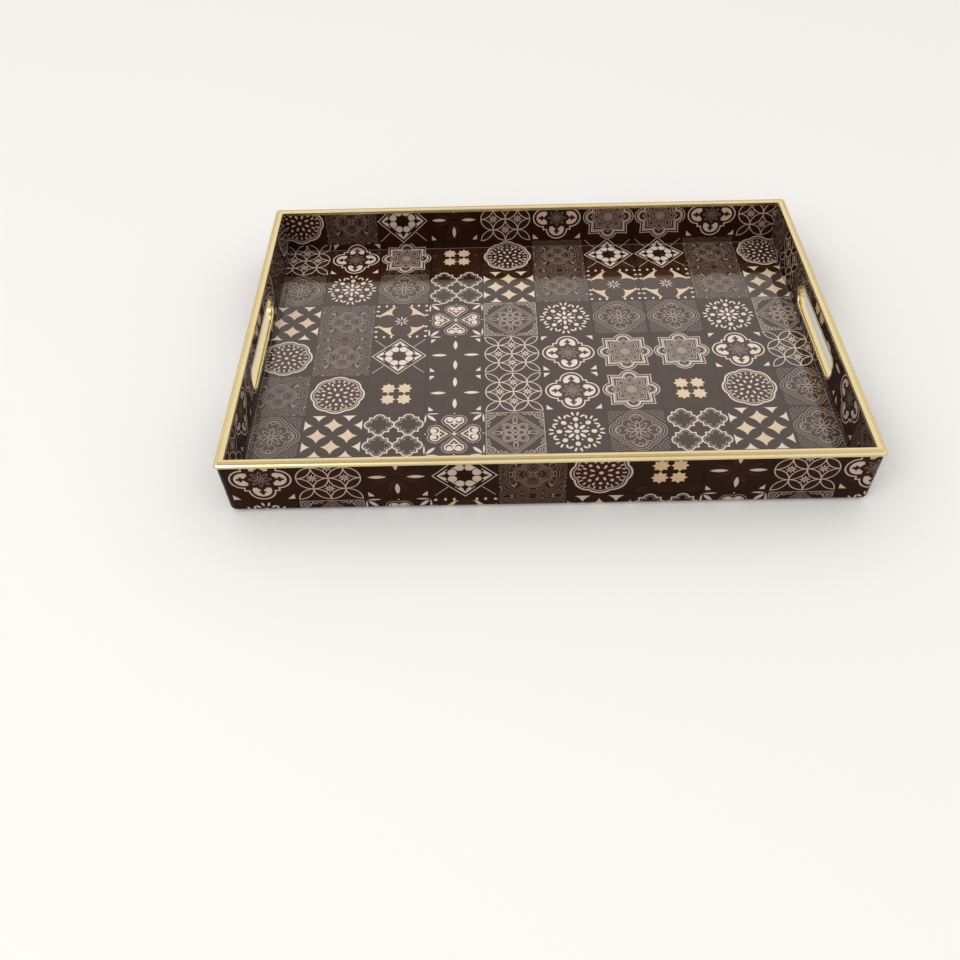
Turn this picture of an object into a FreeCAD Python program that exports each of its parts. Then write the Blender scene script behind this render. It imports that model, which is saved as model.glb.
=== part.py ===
import FreeCAD, Part
import math
import os

# Rectangular serving tray: four leaning rails with mitred corners around a printed floor panel,
# a gold bead along the top edge, and a lined hand slot in each short side. Millimetres.
# The origin is the centre of the underside at the feet. +X runs along the length, -Y points to
# the long side that faces the person who carries the tray, and +Z is up.

V = FreeCAD.Vector

# Overall sizes
LENGTH = 400.0
WIDTH = 280.0
HEIGHT = 45.0
FLOOR_TOP = 9.0
LEAN = math.radians(4.0)

# Rails
WALL = 5.0
FOOT_GAP = 1.5
LEDGE = 9.0
CORNER_RADIUS = 5.0
FOOT_RADIUS = 3.5

# Rim bead. An inset is a distance inwards from the outermost edge of the rim.
RIM_WIDTH = 6.0
RIM_HEIGHT = 3.0
RIM_OVERHANG = 0.8
RIM_CREST = 3.0
NOSE_RADIUS = 1.0
INNER_EDGE_HEIGHT = 1.9
TONGUE_WIDTH = 1.6
TONGUE_DEPTH = 2.5

# Floor layers and their clearance to the rails
BOARD_THICKNESS = 3.0
SHEET_THICKNESS = 0.3
BOARD_CLEARANCE = 0.1

# Hand slots and their liners
SLOT_LENGTH = 92.0
SLOT_HEIGHT = 17.0
SLOT_CENTRE = 24.0
LINER_THICKNESS = 0.8
LIP_WIDTH = 1.2
LIP_THICKNESS = 0.5

# Fasteners
BRAD_RADIUS = 0.6
BRAD_HEAD_RADIUS = 1.2
BRAD_HEAD = 0.5
BRAD_LENGTH = 6.5
BRADS_LONG_SIDE = 5
BRADS_SHORT_SIDE = 4
BRAD_PITCH_LONG = 75.0
BRAD_PITCH_SHORT = 55.0
NAIL_HALF_SPAN = 3.0
NAIL_DEPTH_OF_V = 1.5
NAIL_THICKNESS = 0.5
NAIL_HEIGHT = 2.8
NAIL_INSETS = (10.0, 14.0)

# Feet
BUMPER_TOP_RADIUS = 7.0
BUMPER_FOOT_RADIUS = 6.2
BUMPER_EDGE_RADIUS = 1.2
BUMPER_MARGIN = 3.0

# Sizes that follow from the ones above
WALL_TOP = HEIGHT - RIM_HEIGHT
BOARD_TOP = FLOOR_TOP - SHEET_THICKNESS
BOARD_UNDERSIDE = BOARD_TOP - BOARD_THICKNESS
LEDGE_TOP = BOARD_UNDERSIDE - SHEET_THICKNESS
TONGUE_INSET = RIM_OVERHANG + (WALL - TONGUE_WIDTH) / 2
SPARE = 20.0

SIDES = {"front": (0, -1), "back": (0, 1), "left": (-1, 0), "right": (1, 0)}
CORNERS = {"front_left": (-1, -1), "front_right": (1, -1), "back_left": (-1, 1), "back_right": (1, 1)}


def outer_inset(z):
    """Inset of the rails' outer face at height z."""
    return RIM_OVERHANG + (WALL_TOP - z) * math.tan(LEAN)


def inner_inset(z):
    """Inset of the rails' inner face at height z."""
    return outer_inset(z) + WALL


FLOOR_INSET = inner_inset(FLOOR_TOP)
LEDGE_INSET = FLOOR_INSET + LEDGE


def box(inset, bottom, top):
    """Box centred on the Z axis, at one inset from the rim's outline."""
    length, width = LENGTH - 2 * inset, WIDTH - 2 * inset
    return Part.makeBox(length, width, top - bottom, V(-length / 2, -width / 2, bottom))


def ring(inset, width, bottom, top):
    """Rectangular ring with sharp corners."""
    return box(inset, bottom, top).cut(box(inset + width, bottom - 1, top + 1))


def frustum(inset, bottom, top):
    """Leaning block whose inset is the given function of height."""
    low, high = inset(bottom), inset(top)
    low_x, low_y = LENGTH / 2 - low, WIDTH / 2 - low
    high_x, high_y = LENGTH / 2 - high, WIDTH / 2 - high
    block = Part.makeWedge(-low_x, bottom, -low_y, -high_y, -high_x, low_x, top, low_y, high_y, high_x)
    block.rotate(V(0, 0, 0), V(1, 0, 0), 90)
    return block


def edges_where(shape, test):
    """Edges whose lowest and highest points pass the test."""
    return [edge for edge in shape.Edges if test(edge.BoundBox.ZMin, edge.BoundBox.ZMax)]


def mitre_wedge(side):
    """Region that belongs to one side of the frame, cut at 45 degrees through the corners."""
    x_dir, y_dir = SIDES[side]
    reach, depth = SPARE, 2 * SPARE
    across, out = (LENGTH / 2, WIDTH / 2) if y_dir else (WIDTH / 2, LENGTH / 2)
    outline = [(-across - reach, out + reach), (across + reach, out + reach),
               (across - depth, out - depth), (-across + depth, out - depth)]
    if y_dir:
        points = [V(a, y_dir * b, -SPARE) for a, b in outline]
    else:
        points = [V(x_dir * b, a, -SPARE) for a, b in outline]
    face = Part.Face(Part.makePolygon(points + points[:1]))
    return face.extrude(V(0, 0, HEIGHT + 2 * SPARE))


def rail_ring():
    """All four rails before mitring: leaning walls, a ledge for the floor and a groove for the rim."""
    body = frustum(outer_inset, FOOT_GAP, WALL_TOP)
    body = body.makeFillet(CORNER_RADIUS, edges_where(body, lambda low, high: high - low > 1))
    body = body.makeFillet(FOOT_RADIUS, edges_where(body, lambda low, high: high < FOOT_GAP + 0.01))
    body = body.cut(frustum(inner_inset, FLOOR_TOP, WALL_TOP + 1))
    body = body.cut(box(FLOOR_INSET, LEDGE_TOP, FLOOR_TOP + 0.5))
    body = body.cut(box(LEDGE_INSET, 0, LEDGE_TOP + 1))
    groove = ring(TONGUE_INSET, TONGUE_WIDTH, WALL_TOP - TONGUE_DEPTH, WALL_TOP + 1)
    return body.cut(groove)


def stadium(side, length, height):
    """Prism with round ends, through one short side along X."""
    x_dir = SIDES[side][0]
    radius, half = height / 2, (length - height) / 2
    start = LENGTH / 2 - SPARE
    low, mid, high = SLOT_CENTRE - radius, SLOT_CENTRE, SLOT_CENTRE + radius
    edges = [
        Part.makeLine(V(start, -half, low), V(start, half, low)),
        Part.Arc(V(start, half, low), V(start, half + radius, mid), V(start, half, high)).toShape(),
        Part.makeLine(V(start, half, high), V(start, -half, high)),
        Part.Arc(V(start, -half, high), V(start, -half - radius, mid), V(start, -half, low)).toShape(),
    ]
    prism = Part.Face(Part.Wire(edges)).extrude(V(2 * SPARE, 0, 0))
    return prism if x_dir > 0 else prism.mirror(V(0, 0, 0), V(1, 0, 0))


def wall_slab(side, near, far):
    """Leaning slab of one short side, between two depths measured from its outer face."""
    x_dir = SIDES[side][0]
    corners = []
    for z, depth in ((0, near), (WALL_TOP, near), (WALL_TOP, far), (0, far)):
        corners.append(V(x_dir * (LENGTH / 2 - outer_inset(z) - depth), -WIDTH / 2, z))
    face = Part.Face(Part.makePolygon(corners + corners[:1]))
    return face.extrude(V(0, WIDTH, 0))


def handle_liner(side):
    """Oval ring that lines a hand slot, with a lip on the wall's inner face."""
    bore = stadium(side, SLOT_LENGTH - 2 * LINER_THICKNESS, SLOT_HEIGHT - 2 * LINER_THICKNESS)
    sleeve = stadium(side, SLOT_LENGTH, SLOT_HEIGHT).common(wall_slab(side, 0, WALL))
    lip_shape = stadium(side, SLOT_LENGTH + 2 * LIP_WIDTH, SLOT_HEIGHT + 2 * LIP_WIDTH)
    lip = lip_shape.common(wall_slab(side, WALL, WALL + LIP_THICKNESS))
    return sleeve.fuse(lip).cut(bore).removeSplitter()


def bead_point(inset, height):
    """Point of the bead's section, by its inset and its height above the wall."""
    return V(LENGTH / 2 - inset, 0, WALL_TOP + height)


def crest_arc(edge_inset, edge_height):
    """Arc from the bead's crest, where it is level, down to a point of the section's edge."""
    run, drop = edge_inset - RIM_CREST, RIM_HEIGHT - edge_height
    radius = (run ** 2 + drop ** 2) / (2 * drop)
    half_turn = math.asin(run / radius) / 2
    sink = radius * (1 - math.cos(half_turn))
    middle = bead_point(RIM_CREST + radius * math.sin(half_turn), RIM_HEIGHT - sink)
    return Part.Arc(bead_point(RIM_CREST, RIM_HEIGHT), middle, bead_point(edge_inset, edge_height)).toShape()


def bead_profile(inset_limit):
    """Face of the bead's section above the wall, from its outer nose to an inset limit."""
    heel = NOSE_RADIUS * (1 - math.sqrt(0.5))
    edges = [
        Part.makeLine(bead_point(inset_limit, 0), bead_point(NOSE_RADIUS, 0)),
        Part.Arc(bead_point(NOSE_RADIUS, 0), bead_point(heel, heel), bead_point(0, NOSE_RADIUS)).toShape(),
        crest_arc(0, NOSE_RADIUS),
    ]
    last_height = RIM_HEIGHT
    if inset_limit > RIM_CREST:
        last_height = INNER_EDGE_HEIGHT
        edges.append(crest_arc(RIM_WIDTH, last_height))
    edges.append(Part.makeLine(bead_point(inset_limit, last_height), bead_point(inset_limit, 0)))
    return Part.Face(Part.Wire(edges))


def straight_bead(side):
    """Bead and tongue along one side, stopping at the centres of the rounded corners."""
    x_dir, y_dir = SIDES[side]
    run = (LENGTH if y_dir else WIDTH) - 2 * RIM_CREST
    bead = bead_profile(RIM_WIDTH)
    bead.translate(V(0, -run / 2, 0))
    bead = bead.extrude(V(0, run, 0))
    tongue = Part.makeBox(TONGUE_WIDTH, run, TONGUE_DEPTH,
                          V(LENGTH / 2 - TONGUE_INSET - TONGUE_WIDTH, -run / 2, WALL_TOP - TONGUE_DEPTH))
    bead = bead.fuse(tongue)
    if y_dir:
        bead.translate(V((WIDTH - LENGTH) / 2, 0, 0))
    bead.rotate(V(0, 0, 0), V(0, 0, 1), math.degrees(math.atan2(y_dir, x_dir)))
    return bead


def corner_bead(x_dir, y_dir):
    """Outer half of the bead turned through a quarter circle at one corner."""
    start = {(1, 1): 0, (-1, 1): 90, (-1, -1): 180, (1, -1): 270}[(x_dir, y_dir)]
    half = bead_profile(RIM_CREST)
    half.translate(V(-LENGTH / 2 + RIM_CREST, 0, 0))
    turned = half.revolve(V(0, 0, 0), V(0, 0, 1), 90)
    turned.rotate(V(0, 0, 0), V(0, 0, 1), start)
    turned.translate(V(x_dir * (LENGTH / 2 - RIM_CREST), y_dir * (WIDTH / 2 - RIM_CREST), 0))
    return turned


def rim_trim(side):
    """One length of bead, mitred at both ends, with its half of each rounded corner."""
    x_dir, y_dir = SIDES[side]
    bead = straight_bead(side)
    for corner_x, corner_y in CORNERS.values():
        if corner_x == x_dir or corner_y == y_dir:
            bead = bead.fuse(corner_bead(corner_x, corner_y))
    return bead.common(mitre_wedge(side)).removeSplitter()


def floor_layer(bottom, thickness):
    """One flat layer of the floor, as large as the space between the rails."""
    return box(FLOOR_INSET + BOARD_CLEARANCE, bottom, bottom + thickness)


def brad(x, y):
    """Headed pin driven upwards through a ledge into the floor board."""
    shank = Part.makeCylinder(BRAD_RADIUS, BRAD_LENGTH, V(x, y, FOOT_GAP))
    return shank.fuse(Part.makeCylinder(BRAD_HEAD_RADIUS, BRAD_HEAD, V(x, y, FOOT_GAP))).removeSplitter()


def spread(count, pitch):
    """Evenly spaced places, centred on zero."""
    return [(place - (count - 1) / 2) * pitch for place in range(count)]


def floor_brads():
    """Pins along the middle of the four ledges."""
    inset = FLOOR_INSET + LEDGE / 2
    pins = []
    for way in (-1, 1):
        pins += [brad(x, way * (WIDTH / 2 - inset)) for x in spread(BRADS_LONG_SIDE, BRAD_PITCH_LONG)]
        pins += [brad(way * (LENGTH / 2 - inset), y) for y in spread(BRADS_SHORT_SIDE, BRAD_PITCH_SHORT)]
    return pins


def v_nail(x_dir, y_dir, inset):
    """V-shaped fastener driven upwards across one mitre."""
    span, dip, thick = NAIL_HALF_SPAN, NAIL_DEPTH_OF_V, NAIL_THICKNESS
    outline = [(-span, 0), (0, -dip), (span, 0), (span, thick), (0, thick - dip), (-span, thick)]
    points = [V(a, b, 0) for a, b in outline]
    nail = Part.Face(Part.makePolygon(points + points[:1])).extrude(V(0, 0, NAIL_HEIGHT))
    nail.rotate(V(0, 0, 0), V(0, 0, 1), math.degrees(math.atan2(y_dir, x_dir)) - 90)
    nail.translate(V(x_dir * (LENGTH / 2 - inset), y_dir * (WIDTH / 2 - inset), FOOT_GAP))
    return nail


def corner_v_nails():
    """Two nails across each of the four mitres."""
    return [v_nail(*corner, inset) for corner in CORNERS.values() for inset in NAIL_INSETS]


def foot_bumper(x_dir, y_dir):
    """Tapered rubber foot under one corner of the floor."""
    foot = Part.makeCone(BUMPER_FOOT_RADIUS, BUMPER_TOP_RADIUS, LEDGE_TOP)
    foot = foot.makeFillet(BUMPER_EDGE_RADIUS, edges_where(foot, lambda low, high: high < 0.01))
    inset = LEDGE_INSET + BUMPER_TOP_RADIUS + BUMPER_MARGIN
    foot.translate(V(x_dir * (LENGTH / 2 - inset), y_dir * (WIDTH / 2 - inset), 0))
    return foot


def build():
    """Every piece of the tray, by node name."""
    nails, brads = Part.makeCompound(corner_v_nails()), Part.makeCompound(floor_brads())
    frame = rail_ring().cut(nails).cut(brads)
    pieces = {}
    for side in SIDES:
        rail = frame.common(mitre_wedge(side))
        if side in ("left", "right"):
            rail = rail.cut(stadium(side, SLOT_LENGTH, SLOT_HEIGHT))
            pieces["handle_liner_" + side] = handle_liner(side)
        pieces[side + "_rail"] = rail
        pieces["rim_trim_" + side] = rim_trim(side)
    pieces["floor_backing"] = floor_layer(LEDGE_TOP, SHEET_THICKNESS).cut(brads)
    pieces["floor_board"] = floor_layer(BOARD_UNDERSIDE, BOARD_THICKNESS).cut(brads)
    pieces["floor_print"] = floor_layer(BOARD_TOP, SHEET_THICKNESS)
    pieces["corner_v_nails"] = nails
    pieces["floor_brads"] = brads
    for name, corner in CORNERS.items():
        pieces["foot_bumper_" + name] = foot_bumper(*corner)
    return pieces


os.makedirs("parts", exist_ok=True)
for node, shape in build().items():
    shape.exportStep("parts/" + node + ".step")
    state = "valid" if shape.isValid() else "INVALID"
    print(node, len(shape.Solids), "solids,", round(shape.Volume), "mm3,", state)
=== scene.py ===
# %% [markdown]
# # A printed serving tray with a gold rim
# The tray is a shallow frame of four leaning rails round a printed floor, all under gloss lacquer. A gold
# bead covers the top edge, and a gold oval lines each hand slot. The packed model gives every place and
# size. This file gives the pieces their finished surfaces, one step in each cell.

# %% Load the packed frame
import math

import bmesh
import bpy
from mathutils import Matrix, Vector


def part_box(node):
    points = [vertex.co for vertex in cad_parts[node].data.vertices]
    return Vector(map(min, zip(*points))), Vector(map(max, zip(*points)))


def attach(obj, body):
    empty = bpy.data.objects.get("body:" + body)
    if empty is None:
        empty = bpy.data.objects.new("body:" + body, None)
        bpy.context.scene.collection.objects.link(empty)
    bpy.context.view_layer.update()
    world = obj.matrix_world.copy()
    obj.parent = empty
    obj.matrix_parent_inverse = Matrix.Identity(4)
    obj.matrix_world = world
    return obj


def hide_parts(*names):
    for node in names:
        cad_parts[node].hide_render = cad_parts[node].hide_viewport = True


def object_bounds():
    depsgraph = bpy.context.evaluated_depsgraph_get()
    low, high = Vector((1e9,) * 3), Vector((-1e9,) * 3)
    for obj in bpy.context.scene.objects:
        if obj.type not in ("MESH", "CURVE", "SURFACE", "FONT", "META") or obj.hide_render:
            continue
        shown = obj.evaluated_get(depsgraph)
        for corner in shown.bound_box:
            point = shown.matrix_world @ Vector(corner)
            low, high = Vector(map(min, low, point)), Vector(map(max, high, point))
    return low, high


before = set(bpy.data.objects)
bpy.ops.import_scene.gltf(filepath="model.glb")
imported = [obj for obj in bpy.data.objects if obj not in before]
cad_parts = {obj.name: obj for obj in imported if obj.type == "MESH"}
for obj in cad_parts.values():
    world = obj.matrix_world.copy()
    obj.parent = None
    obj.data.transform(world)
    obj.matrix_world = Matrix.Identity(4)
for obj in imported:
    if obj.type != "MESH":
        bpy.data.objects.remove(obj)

cad_low, cad_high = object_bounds()
print("box of the packed tray:", tuple(round(size, 4) for size in cad_high - cad_low))

# %% [markdown]
# ## Sizes
# Real trays are drawn from a few numbers: the outline over the rim, the height, and the lean of the walls.
# Here the outline and the heights are read from the packed pieces, so nothing has to be fitted later. An
# inset is a distance inwards from the rim's outline, which is how a joiner would mark out a rail.

# %% Read the main sizes
MM = 0.001
LENGTH, WIDTH, HEIGHT = cad_high - cad_low
FLOOR_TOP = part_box("floor_print")[1].z
RAIL_FOOT, WALL_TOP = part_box("front_rail")[0].z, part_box("front_rail")[1].z
LEDGE_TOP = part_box("floor_backing")[0].z
LEAN = math.radians(4)
WALL = 5 * MM
OVERHANG = 0.8 * MM
TILE = 40 * MM
NEARLY = 0.01 * MM
print("length, width, height:", [round(size, 4) for size in (LENGTH, WIDTH, HEIGHT)])


# %% Insets of the leaning wall
def outer_inset(z):
    """Inset of a rail's outer face at height z."""
    return OVERHANG + (WALL_TOP - z) * math.tan(LEAN)


def inner_inset(z):
    """Inset of a rail's inner face at height z."""
    return outer_inset(z) + WALL


lean_run = outer_inset(RAIL_FOOT) - outer_inset(WALL_TOP)
print("the walls lean", round(lean_run / MM, 2), "mm over their height")

# %% [markdown]
# ## Shader maths as expressions
# A print can be painted by hand, projected from a picture, or worked out from its geometry. The last way
# stays sharp at any distance and needs no file, but it takes many Math nodes. One small class wraps a
# socket, so that a formula in Python adds the nodes that it stands for.


# %% A value in a node tree
class Value:
    """One output socket. Operators add Math nodes, and node() adds any other."""

    def __init__(self, tree, socket):
        self.tree, self.socket = tree, socket

    def node(self, kind, settings, sockets, output=0):
        made = self.tree.nodes.new(kind)
        for name, setting in settings.items():
            setattr(made, name, setting)
        for key, given in sockets.items():
            if isinstance(given, Value):
                self.tree.links.new(given.socket, made.inputs[key])
            else:
                made.inputs[key].default_value = given
        return Value(self.tree, made.outputs[output])

    def math(self, operation, *others):
        return self.node("ShaderNodeMath", {"operation": operation}, dict(enumerate((self, *others))))

    def __add__(self, other):
        return self.math("ADD", other)

    def __sub__(self, other):
        return self.math("SUBTRACT", other)

    def __rsub__(self, other):
        return self.node("ShaderNodeMath", {"operation": "SUBTRACT"}, {0: other, 1: self})

    def __mul__(self, other):
        return self.math("MULTIPLY", other)

    def __truediv__(self, other):
        return self.math("DIVIDE", other)

    def __or__(self, other):
        return self.math("MAXIMUM", other)

    def __and__(self, other):
        return self.math("MINIMUM", other)

    def __abs__(self):
        return self.math("ABSOLUTE")

    __radd__, __rmul__ = __add__, __mul__


print("methods of a value:", [name for name, kept in vars(Value).items() if callable(kept)])


# %% Helpers for masks
SOFT = 0.012


def below(field, edge, soft=SOFT):
    """1 where the field is under the edge, 0 above it."""
    return field.node("ShaderNodeMapRange", {"interpolation_type": "SMOOTHSTEP"},
                      {"Value": field, "From Min": edge - soft, "From Max": edge + soft,
                       "To Min": 1.0, "To Max": 0.0})


def above(field, edge, soft=SOFT):
    """1 where the field is over the edge."""
    return 1 - below(field, edge, soft)


def line(field, at, half):
    """1 on a line of the given half width, where the field has one value."""
    return below(abs(field - at), half)


def either(*masks):
    """Union of masks."""
    whole = masks[0]
    for mask in masks[1:]:
        whole = whole | mask
    return whole


# %% Helpers for places on a tile
def vector(x, y):
    return x.node("ShaderNodeCombineXYZ", {}, {"X": x, "Y": y})


def split(place):
    return [place.node("ShaderNodeSeparateXYZ", {}, {0: place}, axis) for axis in (0, 1)]


def length(place):
    return place.node("ShaderNodeVectorMath", {"operation": "LENGTH"}, {0: place}, "Value")


def reach(place, x, y=0.0):
    """Distance from one point."""
    return place.node("ShaderNodeVectorMath", {"operation": "DISTANCE"}, {0: place, 1: (x, y, 0)}, "Value")


def mirrored(place):
    """The same in all four quarters."""
    return place.node("ShaderNodeVectorMath", {"operation": "ABSOLUTE"}, {0: place})


def eightfold(place):
    """The same in all eight wedges between the axes and the diagonals."""
    x, y = split(mirrored(place))
    return vector(x | y, x & y)


def wheel(place, count, turn=0.0):
    """The same in every spoke of a wheel, each spoke lying along +X."""
    x, y = split(place)
    radius = length(place)
    angle = (y.math("ARCTAN2", x) + turn).math("PINGPONG", math.pi / count)
    return vector(radius * angle.math("COSINE"), radius * angle.math("SINE"))


def moved(place, x, y, wide=1.0, high=1.0):
    """Coordinates about another centre, stretched so that a circle there becomes an oval."""
    shifted = place.node("ShaderNodeVectorMath", {"operation": "SUBTRACT"}, {0: place, 1: (x, y, 0)})
    return shifted.node("ShaderNodeVectorMath", {"operation": "DIVIDE"}, {0: shifted, 1: (wide, high, 1)})


def oval(place, x, y, wide, high):
    """A field that is 1 on an oval's edge."""
    return length(moved(place, x, y, wide, high))


def leaf(place, x, y, half_long, half_wide, slope=0.0):
    """A field that is 0 on the edge of a pointed leaf, lying along a slope in degrees."""
    radius = (half_long ** 2 + half_wide ** 2) / (2 * half_wide)
    side, angle = radius - half_wide, math.radians(slope)
    off_x, off_y = -math.sin(angle) * side, math.cos(angle) * side
    return (reach(place, x + off_x, y + off_y) | reach(place, x - off_x, y - off_y)) - radius


def dot(place, x, y, radius):
    """1 inside a round dot."""
    return below(reach(place, x, y), radius)


def circle(place, x, y, radius, half):
    """1 on a circle drawn with a line of the given half width."""
    return line(reach(place, x, y), radius, half)


def petal(place, x, y, half_long, half_wide, slope=0.0):
    """1 inside a pointed leaf."""
    return below(leaf(place, x, y, half_long, half_wide, slope), 0)


def lattice(place, step):
    """Folds the plane into one square cell of a repeated lattice."""
    x, y = split(place)
    return vector(x.math("PINGPONG", step), y.math("PINGPONG", step))


print("a tile runs from -1 to 1 both ways")

# %% [markdown]
# ## The tile motifs
# The printed decor imitates patchwork floor tiles: fifteen motifs in rows, each 40 mm square. Each motif
# folds its square into one wedge, draws a few leaves, rings and dots there, and the fold repeats them.
# A motif answers with masks: ink for the pale lines, gilt for the golden fills, and warm or deep for shades
# of the brown ground. In these formulas | takes the larger mask or field, and & the smaller one.


# %% Round motifs
def medallion(place):
    """Medallion of eight lobes round rings of dots."""
    spoke, between, fine = wheel(place, 8), wheel(place, 8, math.pi / 8), wheel(place, 24)
    edge = reach(spoke, 0.45) - 0.46
    outline = either(line(edge, -0.01, 0.028), line(edge, -0.10, 0.012)) & above(length(place), 0.6)
    seeds = below(oval(fine, 0.68, 0, 0.070, 0.028), 1, 0.15)
    dots = either(dot(spoke, 0.47, 0, 0.052), below(oval(between, 0.29, 0, 0.080, 0.036), 1, 0.15))
    tulips = below(oval(between, 0.54, 0, 0.065, 0.032), 1, 0.15)
    return {"ink": either(outline, seeds * 0.8, dots, tulips, below(length(place), 0.065)),
            "warm": below(edge, -0.10) | below(length(place), 0.6)}


def rosette(place):
    """Rosette of eight big dots, each with a fan of rays, round eight small petals."""
    spoke, between = wheel(place, 8), wheel(place, 8, math.pi / 8)
    fan = wheel(moved(spoke, 0.56, 0), 10, math.pi / 10)
    rays = below(oval(fan, 0.285, 0, 0.090, 0.036), 1, 0.12) & above(length(place), 0.70)
    dots = either(below(oval(spoke, 0.57, 0, 0.095, 0.085), 1, 0.1), dot(between, 0.41, 0, 0.030))
    petals = petal(spoke, 0.27, 0, 0.13, 0.060)
    return {"ink": either(rays, dots, petals, below(length(place), 0.085))}


def ogee_flower(place):
    """Eight-petalled flower inside three ogee outlines, which go on as beaded lines into the corners."""
    wedge, spoke = eightfold(place), wheel(place, 8)
    x, y = split(mirrored(place))
    edge = (reach(wedge, 0.50) - 0.36) & (reach(wedge, 0.33, 0.33) - 0.27) & (length(place) - 0.48)
    outlines = either(*[line(edge, at, 0.011) for at in (0.08, -0.01, -0.10)])
    petals = either(line(leaf(spoke, 0.25, 0, 0.19, 0.065), 0, 0.012), circle(wedge, 0.66, 0, 0.08, 0.012),
                    circle(wedge, 0.52, 0, 0.20, 0.010))
    echoes = either(*[line(edge, at, 0.011) for at in (0.20, 0.29, 0.38, 0.47)])
    beads = below(reach(lattice(place, 0.09), 0.045, 0.045), 0.040)
    beaded = echoes & (1 - beads * 0.8) & below(x | y, 0.93)
    return {"ink": either(outlines, petals) * 0.50 | beaded * 0.42, "warm": below(edge, -0.10) | beaded}


def clover(place):
    """Four hearts of paired scrolls that meet in a dot, with leaves in the corners."""
    spoke, quarter = wheel(place, 4), mirrored(place)
    x, y = split(spoke)
    heart = (reach(spoke, 0.62, 0.16) - 0.175) & ((y * 0.78 - x * 0.62 + 0.115) | (x - 0.53))
    scrolls = either(dot(spoke, 0.655, 0.15, 0.088), line(heart, -0.030, 0.026))
    lotus = petal(spoke, 0.47, 0, 0.09, 0.030)
    outline = line(heart, 0.075, 0.012)
    corners = either(petal(quarter, 0.76, 0.76, 0.21, 0.060, 45),
                     petal(quarter, 0.965, 0.72, 0.20, 0.030, 92),
                     petal(quarter, 0.72, 0.965, 0.20, 0.030, -2))
    dots = either(below(length(place), 0.055), dot(spoke, 0.95, 0, 0.025))
    return {"ink": either(scrolls, lotus, outline * 0.55, corners, dots), "warm": below(heart, 0.075)}


def four_petals(place):
    """Four slim petals and four corner darts on a faint flower."""
    quarter = mirrored(place)
    x, y = split(quarter)
    petals = petal(quarter, 0.57, 0, 0.27, 0.065) | petal(quarter, 0, 0.54, 0.24, 0.070, 90)
    darts = above(x + y, 1.56) & below(x | y, 0.88) & above(reach(quarter, 0.60, 0.88), 0.13)
    faint_flower = petal(wheel(place, 8, math.pi / 8), 0.42, 0, 0.34, 0.07)
    return {"ink": petals | darts, "warm": faint_flower}


def dark_flower(place):
    """Flower of four round lobes with gilt between them, dots round it and a fine star in its heart."""
    quarter, wedge, spoke = mirrored(place), eightfold(place), wheel(place, 8)
    x, y = split(quarter)
    lobes = reach(wedge, 0.53) - 0.35
    wedges = above(lobes, 0.03) & below(x + y, 1.18) & above(length(place), 0.28) & below(x | y, 0.84)
    dots = [below(oval(wedge, across, up, 0.062, 0.042), 1, 0.2)
            for across, up in ((0.91, 0.34), (0.91, 0.60), (0.89, 0.89))]
    return {"ink": either(petal(spoke, 0.16, 0, 0.11, 0.024), *dots), "gilt": wedges,
            "warm": below(lobes, 0)}


print("round motifs are ready")


# %% Star motifs
def four_stars(place):
    """Two pairs of gilt stars with eight points."""
    star_x, star_y = split(wheel(moved(mirrored(place), 0.275, 0.27), 8))
    ghost_x, ghost_y = split(mirrored(moved(mirrored(place), 0.76, 0.80, 0.16, 0.12)))
    return {"gilt": below(star_x + star_y * 1.35, 0.265), "warm": below(ghost_x | ghost_y, 1, 0.2) * 0.6}


def octagram(place):
    """Outlines of a square with four round lobes, round an eight-pointed star of fine lace."""
    wedge, spoke, between = eightfold(place), wheel(place, 8), wheel(place, 8, math.pi / 8)
    x, y = split(wedge)
    edge = (x - y * 0.05 - 0.70) & (reach(wedge, 0.63) - 0.33)
    star = (x - 0.47) & ((x + y) * 0.707 - 0.47)
    outlines = either(line(edge, 0, 0.016) * 0.85, line(edge, -0.10, 0.022), line(edge, -0.155, 0.010),
                      line(star, 0, 0.015) * 0.7, line(star, -0.075, 0.012) * 0.6)
    holes = either(dot(spoke, 0.44, 0, 0.055), dot(between, 0.25, 0, 0.045), dot(between, 0.60, 0, 0.04),
                   line(length(place), 0.34, 0.014), circle(spoke, 0.44, 0, 0.105, 0.012),
                   circle(between, 0.60, 0, 0.09, 0.010), circle(between, 0.25, 0, 0.085, 0.010))
    lace = (below(star, -0.11) & (1 - holes)) * 0.40
    return {"ink": either(outlines, lace), "warm": below(edge, -0.12)}


def four_frames(place):
    """Two pairs of star-shaped frames that touch."""
    frame_place = eightfold(moved(mirrored(place), 0.486, 0.486))
    x, y = split(frame_place)
    edge = (x - 0.325) & (reach(frame_place, 0.30) - 0.184)
    return {"ink": line(edge, 0, 0.023) | line(edge, -0.075, 0.010) * 0.45}


def quatrefoil(place):
    """Barbed quatrefoil with cream lobes round a dark flower of eight petals."""
    here = moved(place, 0, 0, 0.92, 0.92)
    wedge, quarter, spoke = eightfold(here), mirrored(place), wheel(here, 8)
    x, y = split(wedge)
    across, up = split(quarter)
    edge = (x - 0.56) & (reach(wedge, 0.56) - 0.42)
    flower = (reach(spoke, 0.34) - 0.155) & (length(here) - 0.34)
    notch = below(abs(x - 0.62) | y * 2.8, 0.15) | dot(wedge, 0.63, 0.075, 0.050)
    lobes = dot(wedge, 0.54, 0, 0.31) & above(flower, 0.02) & (1 - notch)
    veins = either(line(leaf(spoke, 0.22, 0, 0.15, 0.05), 0, 0.010), below(length(here), 0.035)) * 0.40
    darts = above(across + up, 1.62) & below(across | up, 0.92)
    darts = darts & above(reach(quarter, 0.72, 0.74), 0.10)
    return {"ink": either(line(edge, 0, 0.024), lobes, veins, darts), "warm": below(edge, 0) * 0.4}


print("star motifs are ready")


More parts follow.
